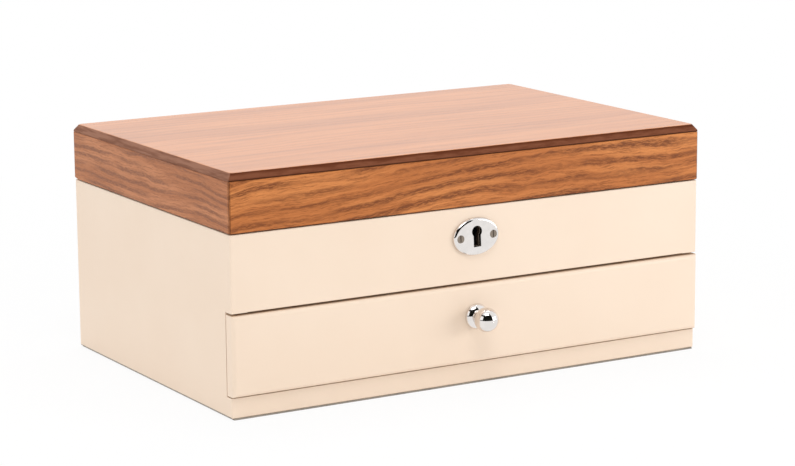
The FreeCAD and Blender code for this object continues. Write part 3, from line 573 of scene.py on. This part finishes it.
def skin(name, rings, closed=False):
    """Smooth mesh through rings of points, closed at both ends or joined into a loop."""
    mesh = bmesh.new()
    loops = [[mesh.verts.new(point) for point in ring] for ring in rings]
    count = len(loops[0])
    pairs = list(zip(loops, loops[1:]))
    if closed:
        pairs.append((loops[-1], loops[0]))
    for first, second in pairs:
        for k in range(count):
            after = (k + 1) % count
            mesh.faces.new((first[k], first[after], second[after], second[k]))
    if not closed:
        mesh.faces.new(list(reversed(loops[0])))
        mesh.faces.new(loops[-1])
    bmesh.ops.recalc_face_normals(mesh, faces=mesh.faces)
    for face in mesh.faces:
        face.smooth = True
    return put_mesh(name, mesh)


def rounded_section(width, height, foot_round, top_round):
    """Closed outline round a bar's section: its foot corners, then its top corners."""
    half = width / 2
    corners = [
        (-half + foot_round, foot_round, foot_round, 180.0),
        (half - foot_round, foot_round, foot_round, 270.0),
        (half - top_round, height - top_round, top_round, 0.0),
        (-half + top_round, height - top_round, top_round, 90.0),
    ]
    outline = []
    for across, up, radius, start in corners:
        for step in range(CORNER_STEPS + 1):
            angle = math.radians(start + 90.0 * step / CORNER_STEPS)
            outline.append((across + radius * math.cos(angle), up + radius * math.sin(angle)))
    return outline


def filled_out(outline, spacing):
    """The outline with points added on its long straight stretches."""
    result = []
    for first, second in zip(outline, outline[1:] + outline[:1]):
        parts = max(1, round(math.dist(first, second) / spacing))
        for part in range(parts):
            share = part / parts
            result.append(tuple(a + (b - a) * share for a, b in zip(first, second)))
    return result


def end_stations(length, end_round, spacing):
    """Places along a bar with how far its section is drawn in there, for round ends."""
    near = []
    for step in range(END_STEPS + 1):
        cosine, sine = quarter(step, END_STEPS)
        near.append((end_round * (1 - cosine), end_round * (1 - sine)))
    straight = length - 2 * end_round
    middle = max(2, round(straight / spacing))
    inner = [(end_round + straight * step / middle, 0.0) for step in range(1, middle)]
    far = [(length - along, inset) for along, inset in reversed(near)]
    return near + inner + far


def drawn_in(outline, inset, width, height):
    """The outline with every side moved in by inset."""
    across_share = 1 - 2 * inset / width
    up_share = 1 - 2 * inset / height
    return [(a * across_share, height / 2 + (u - height / 2) * up_share) for a, u in outline]


def soft_bar(name, low, high, along, round_foot, round_top, round_end, spacing, ripple):
    """Upright soft bar that fills a box, lying along X or Y.

    spacing is the distance between the points of its mesh, and ripple is how far its surface
    wanders, both in metres.
    """
    size = high - low
    if along == "X":
        direction, side, length, width = Vector((1, 0, 0)), Vector((0, -1, 0)), size.x, size.y
        start = Vector((low.x, (low.y + high.y) / 2, low.z))
    else:
        direction, side, length, width = Vector((0, 1, 0)), Vector((1, 0, 0)), size.y, size.x
        start = Vector(((low.x + high.x) / 2, low.y, low.z))
    up = Vector((0, 0, 1))
    section = filled_out(rounded_section(width, size.z, round_foot, round_top), spacing)
    rings = []
    for station, inset in end_stations(length, round_end, spacing):
        ring = []
        for across, rise in drawn_in(section, inset, width, size.z):
            point = start + direction * station + side * across + up * rise
            wander = noise.noise_vector(point * 60.0) * ripple
            wander += noise.noise_vector(point * 190.0) * (ripple * 0.35)
            ring.append(point + wander)
        rings.append(ring)
    return skin(name, rings)


def finish_piece(piece, material, body, node):
    """Gives a soft piece its finish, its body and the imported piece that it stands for."""
    piece.data.materials.append(material)
    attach(piece, body)
    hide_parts(node)


# ---------------------------------------------------------------- ring rolls
def puffed(piece, seed):
    """Fills a roll like foam under its cover: a short cloth run, with a limit on each move."""
    scene = bpy.context.scene
    rest = [vertex.co.copy() for vertex in piece.data.vertices]
    random.seed(seed)
    for vertex in piece.data.vertices:
        vertex.co += Vector([random.uniform(-1, 1) for _ in range(3)]) * ROLL_JITTER
    cloth = piece.modifiers.new("cloth", "CLOTH")
    cloth.settings.use_pressure = True
    cloth.settings.uniform_pressure_force = ROLL_PRESSURE
    cloth.settings.quality = 6
    cloth.settings.mass = 0.25
    cloth.settings.tension_stiffness = 8
    cloth.settings.compression_stiffness = 8
    cloth.settings.bending_stiffness = 0.4
    cloth.settings.effector_weights.gravity = 0.0
    cloth.point_cache.frame_start = 1
    cloth.point_cache.frame_end = ROLL_FRAMES
    for step in range(1, ROLL_FRAMES + 1):
        scene.frame_set(step)
    shaped = piece.evaluated_get(bpy.context.evaluated_depsgraph_get()).to_mesh()
    moves = [vertex.co - start for vertex, start in zip(shaped.vertices, rest)]
    piece.modifiers.remove(cloth)
    for vertex, start, move in zip(piece.data.vertices, rest, moves):
        if move.length > ROLL_SWELL:
            move = move * (ROLL_SWELL / move.length)
        vertex.co = start + move
    scene.frame_set(1)


def ring_rolls(material):
    """Five velvet rolls, pressed side by side; a ring stands in the slot between two."""
    slack = Vector(ROLL_SLACK)
    for number in range(1, 6):
        node = f"ring_roll_{number}"
        low, high = box_of(node)
        low += slack
        high -= slack
        low.z -= ROLL_SLACK[2]  # its foot stays where it was
        piece = soft_bar(
            f"{node}_velvet",
            low,
            high,
            "X",
            round_foot=1.6 * MM,
            round_top=(high.y - low.y) * 0.42,
            round_end=2.4 * MM,
            spacing=3.4 * MM,
            ripple=0.10 * MM,
        )
        puffed(piece, number)
        smooth = piece.modifiers.new("smooth", "SUBSURF")
        smooth.levels = 1
        smooth.render_levels = 1
        finish_piece(piece, material, "carcass", node)


# ---------------------------------------------------------------- velvet on card
def lining_walls(name, node, body, material, cut=None):
    """Four velvet-covered cards round a compartment, each with a soft top edge.

    cut is the box of a cut-out in the front card.
    """
    low, high = box_of(node)
    near, far = low.y + CARD, high.y - CARD
    walls = [
        ("front", "X", low, Vector((high.x, near, high.z))),
        ("back", "X", Vector((low.x, far, low.z)), high),
        ("left", "Y", Vector((low.x, near, low.z)), Vector((low.x + CARD, far, high.z))),
        ("right", "Y", Vector((high.x - CARD, near, low.z)), Vector((high.x, far, high.z))),
    ]
    for side, along, start, end in walls:
        spans = round_cut(start, end, *cut) if cut and side == "front" else [(start, end)]
        for number, (span_low, span_high) in enumerate(spans, 1):
            piece = soft_bar(
                f"{name}_{side}" if len(spans) == 1 else f"{name}_{side}_{number}",
                span_low,
                span_high,
                along,
                round_foot=0.1 * MM,
                round_top=CARD * 0.48,
                round_end=0.2 * MM,
                spacing=4.0 * MM,
                ripple=0.0,
            )
            finish_piece(piece, material, body, node)


def round_cut(start, end, cut_low, cut_high):
    """Spans of a front card left of a cut-out, right of it and under it."""
    return [
        (start, Vector((cut_low.x, end.y, end.z))),
        (Vector((cut_high.x, start.y, start.z)), end),
        (Vector((cut_low.x, start.y, start.z)), Vector((cut_high.x, end.y, cut_low.z))),
    ]


def divider(node, along, body, material):
    """One velvet-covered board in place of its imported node."""
    low, high = box_of(node)
    piece = soft_bar(
        f"{node}_velvet",
        low,
        high,
        along,
        round_foot=0.3 * MM,
        round_top=1.4 * MM,
        round_end=1.4 * MM,
        spacing=4.0 * MM,
        ripple=0.05 * MM,
    )
    finish_piece(piece, material, body, node)


def flat_pad(name, node, body, material, rounding, ripple=0.02 * MM):
    """Thin pad that fills its node's box, soft at its upper edges."""
    low, high = box_of(node)
    piece = soft_bar(
        name,
        low,
        high,
        "X",
        round_foot=rounding * 0.4,
        round_top=rounding,
        round_end=rounding,
        spacing=6.0 * MM,
        ripple=ripple,
    )
    finish_piece(piece, material, body, node)


def frame_section(low_z, high_z, glass_z):
    """Section of the mirror's frame, as (share of the way in, height, how far further in)."""
    radius = (glass_z - low_z) * 0.48
    section = [(0.0, high_z, 0.0), (0.0, low_z + radius, 0.0)]
    for step in range(1, CORNER_STEPS + 1):
        cosine, sine = quarter(step, CORNER_STEPS)
        section.append((0.0, low_z + radius * (1 - sine), radius * (1 - cosine)))
    for step in range(1, FRAME_WIDTHS):
        section.append((step / FRAME_WIDTHS, low_z, 0.0))
    for step in range(CORNER_STEPS + 1):
        cosine, sine = quarter(step, CORNER_STEPS)
        section.append((1.0, low_z + radius * (1 - cosine), -radius * (1 - sine)))
    back = glass_z - FRAME_CLEAR
    return section + [(1.0, back, 0.0), (0.5, back, 0.0)]


def mirror_frame(material):
    """Padded velvet frame round the mirror, mitred at its corners."""
    node = "lid_mirror_frame"
    low, high = box_of(node)
    glass_low, glass_high = box_of("lid_mirror")
    lip = Vector((FRAME_LIP, FRAME_LIP, 0.0))
    section = frame_section(low.z, high.z, glass_low.z)
    corners = [(-1, -1), (1, -1), (1, 1), (-1, 1)]
    rings = []
    for corner, after in zip(corners, corners[1:] + corners[:1]):
        for step in range(FRAME_STEPS):
            share = step / FRAME_STEPS
            outer = frame_point(low, high, corner, after, share)
            inner = frame_point(glass_low + lip, glass_high - lip, corner, after, share)
            way_in = (inner - outer).normalized()
            ring = []
            for inward, level, inset in section:
                point = outer.lerp(inner, inward) + way_in * inset
                point.z = level
                if 0 < inward < 1:
                    point.z += FRAME_RIPPLE * noise.noise(point * 45.0)
                    point.z = max(point.z, low.z)
                ring.append(point)
            rings.append(ring)
    piece = skin("mirror_frame_velvet", rings, closed=True)
    finish_piece(piece, material, "lid", node)


def frame_point(low, high, corner, after, share):
    """Point on a rectangle's edge, between two of its corners."""
    first, second = (
        Vector((high.x if sign_x > 0 else low.x, high.y if sign_y > 0 else low.y, 0.0))
        for sign_x, sign_y in (corner, after)
    )
    return first.lerp(second, share)


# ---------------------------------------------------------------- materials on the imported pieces
lacquer = cream_lacquer("cream_lacquer")
plate_low, plate_high = box_of("escutcheon")
panel_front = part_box("front_panel")[0][1]
keyhole_low = Vector((-KEYHOLE_REACH, panel_front, plate_low.z + KEYHOLE_MARGIN))
keyhole_high = Vector((KEYHOLE_REACH, plate_high.y, plate_high.z - KEYHOLE_MARGIN))
panel_lacquer = cream_lacquer("cream_lacquer_keyhole", (keyhole_low, keyhole_high))
lid_low, lid_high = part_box("lid_front_rail")[0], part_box("lid_top_panel")[1]
front_tones = (OAK_LIGHT, OAK_MIDDLE, OAK_DARK)
# painted sheen: the side rails get a paler, duller copy of the front's oak tones
side_sheen_tones = (SIDE_SHEEN_LIGHT, SIDE_SHEEN_MIDDLE, SIDE_SHEEN_DARK)
oak_along = veneer("oak_along_front", "X", front_tones, 0.05, 1.0, lid_low, lid_high)
oak_side = veneer("oak_along_side", "Y", side_sheen_tones, 0.0, 1.4, lid_low, lid_high)
oak_top = veneer_top(lid_high)
board_x = bare_board("bare_board_across", "X")
board_y = bare_board("bare_board_deep", "Y")
chrome = plated("bright_chrome", CHROME, 0.035, 0.000001)
nickel = plated("nickel_plate", NICKEL, 0.16, 0.000004)
steel = plated("plain_steel", STEEL, 0.30, 0.00001)
# the lock's parts are blackened steel, near black, which is also painted shade seen through the
# keyhole
blackened_and_shade = plated("blackened_steel_and_shade", BLACKENED_AND_SHADE, 0.55, 0.00001)
tarnished = plated("tarnished_nickel", TARNISHED, 0.30, 0.00002)
silver = silvered_glass()
pile = velvet()
felt = pressed_felt()

finish_of = {
    "painted_board": lacquer,
    "veneer": oak_along,
    "bare_board": board_x,
    "chrome": chrome,
    "nickel": nickel,
    "steel": steel,
    "velvet": pile,
    "mirror": silver,
    "felt": felt,
}
own_finish = {
    "front_panel": panel_lacquer,
    "lid_top_panel": oak_top,
    "lid_left_rail": oak_side,
    "lid_right_rail": oak_side,
    "drawer_left_side": board_y,
    "drawer_right_side": board_y,
    "drawer_runner_left": board_y,
    "drawer_runner_right": board_y,
    "lock_case": blackened_and_shade,
    "lock_key_post": blackened_and_shade,
    "lock_bolt": blackened_and_shade,
    "lock_bolt_guides": blackened_and_shade,
    "lock_spring": blackened_and_shade,
    "lock_plate": lock_plate_finish(),
    "escutcheon_screws": tarnished,
}
slot_of = {part["node"]: part["material_slot"] for part in frame["record"]["subparts"]}
for name, packed in nodes.items():
    material = own_finish.get(name, finish_of[slot_of[name]])
    packed.data.materials.clear()
    packed.data.materials.append(material)

# ---------------------------------------------------------------- soft pieces in place
noise.seed_set(1)  # else Blender seeds the ripple from the clock
ring_rolls(pile)
divider("tray_divider", "X", "carcass", pile)
divider("drawer_divider_long", "X", "drawer", pile)
divider("drawer_divider_short", "Y", "drawer", pile)
flat_pad("tray_floor_velvet", "tray_floor_lining", "carcass", pile, 0.6 * MM)
flat_pad("drawer_floor_velvet", "drawer_floor_lining", "drawer", pile, 0.4 * MM)
flat_pad("base_felt_pad", "base_felt", "carcass", felt, 0.4 * MM, 0.0)
lining_walls("tray_wall_velvet", "tray_wall_lining", "carcass", pile, box_of("lock_plate"))
lining_walls("drawer_wall_velvet", "drawer_wall_lining", "drawer", pile)
mirror_frame(pile)


# ---------------------------------------------------------------- studio
def lamp(name, place, target, width, height, power):
    """Soft rectangular lamp aimed at a point."""
    light = bpy.data.lights.new(name, "AREA")
    light.shape = "RECTANGLE"
    light.size = width
    light.size_y = height
    light.energy = power
    holder = put(name, light)
    holder.location = place
    holder.rotation_euler = (Vector(target) - Vector(place)).to_track_quat("-Z", "Y").to_euler()


def floor_finish():
    """White floor that fades to pure white but keeps the shadow."""
    f = Finish("studio_floor")
    place = f.place()
    speck = f.noise(place, 40.0)
    paint = f.diffuse(f.mix(speck, (0.90, 0.90, 0.90), (0.92, 0.92, 0.92)))
    white = f.node("ShaderNodeEmission", None, {"Color": WHITE, "Strength": 1.0})
    reach = f.node("ShaderNodeVectorMath", {"operation": "LENGTH"}, {0: place}, out="Value")
    return f.close(f.shared(f.plain_rays() * reach.ramp(0.22, 0.60, 0.88, 1.0), paint, white))


def card_finish():
    """Matt black card for the curved chrome, which a flat mirror doesn't show."""
    f = Finish("black_card")
    cloud = f.noise(f.place(), 8.0)
    black = f.diffuse(f.mix(cloud, (0.010, 0.010, 0.008), (0.016, 0.016, 0.013)))
    clear = f.node("ShaderNodeBsdfTransparent")
    flat_mirror = f.node("ShaderNodeLightPath", out="Is Singular Ray")
    return f.close(f.shared(flat_mirror, black, clear))


def floor():
    """White floor, far wider than the camera's view."""
    reach = 9.0
    mesh = bmesh.new()
    corners = ((-1, -1), (1, -1), (1, 1), (-1, 1))
    mesh.faces.new([mesh.verts.new((x * reach, y * reach, FLOOR_LEVEL)) for x, y in corners])
    card = put_mesh("studio_floor", mesh)
    card.data.materials.append(floor_finish())


def dark_surround(name, distance, left, right, low, high, material):
    """Curved black card round the front, seen only in reflections; angles in degrees."""
    mesh = bmesh.new()
    steps = 16
    levels = [distance * math.tan(math.radians(tilt)) for tilt in (low, high)]
    columns = []
    for step in range(steps + 1):
        turn = math.radians(left + (right - left) * step / steps)
        foot = Vector((math.sin(turn), -math.cos(turn), 0.0)) * distance
        columns.append([mesh.verts.new(foot + Vector((0.0, 0.0, level))) for level in levels])
    for first, second in zip(columns, columns[1:]):
        mesh.faces.new((first[0], second[0], second[1], first[1]))
    card = put_mesh(name, mesh)
    card.data.materials.append(material)
    card.visible_camera = False
    card.visible_diffuse = False
    card.visible_shadow = False
    card.visible_transmission = False


def world_light():
    """White world, dimmer on the object than where it is seen."""
    f = Finish("studio_world", bpy.data.worlds, "ShaderNodeOutputWorld")
    strength = f.plain_rays().ramp(0.0, 1.0, 0.62, 1.0)
    shader = f.node("ShaderNodeBackground", None, {"Color": WHITE, "Strength": strength})
    bpy.context.scene.world = f.close(shader)


def camera():
    """Long lens from the front left, a little above."""
    render_width, focal = 795, 2693.45  # both in pixels
    place = Vector((-717.22, -1235.53, 350.17)) * MM
    yaw, down, roll = math.radians(30.412), math.radians(11.345), math.radians(-0.4329)
    ahead = Vector(
        (math.sin(yaw) * math.cos(down), math.cos(yaw) * math.cos(down), -math.sin(down))
    )
    level = Vector((math.cos(yaw), -math.sin(yaw), 0.0))
    up = level.cross(ahead)
    right = level * math.cos(roll) + up * math.sin(roll)
    above = up * math.cos(roll) - level * math.sin(roll)
    lens = bpy.data.cameras.new("camera")
    lens.sensor_fit = "HORIZONTAL"
    lens.sensor_width = 36.0
    lens.lens = focal * lens.sensor_width / render_width
    lens.clip_start = 0.01
    lens.clip_end = 50.0
    holder = put("camera", lens)
    turn = Matrix((right, above, -ahead)).transposed()
    holder.matrix_world = Matrix.Translation(place) @ turn.to_4x4()
    bpy.context.scene.camera = holder


floor()
world_light()
black = card_finish()
dark_surround("black_card", 2.2, -108.0, 26.0, 0.6, 50.0, black)
dark_surround("black_card_high", 1.2, 4.0, 24.0, 52.0, 62.0, black)
lamp("key_lamp", (-0.45, -1.0, 2.0), (0.0, 0.0, 0.05), 1.1, 0.8, 11.4)
lamp("right_lamp", (1.05, -0.95, 0.30), (0.12, 0.0, 0.04), 0.8, 0.5, 5.0)
lamp("left_lamp", (-1.9, -0.2, 0.8), (0.0, 0.0, 0.05), 1.4, 1.2, 6.0)
lamp("top_lamp", (0.25, 0.5, 1.8), (0.0, 0.0, 0.1), 1.4, 0.9, 9.0)
camera()
bpy.context.scene.view_settings.view_transform = "Standard"
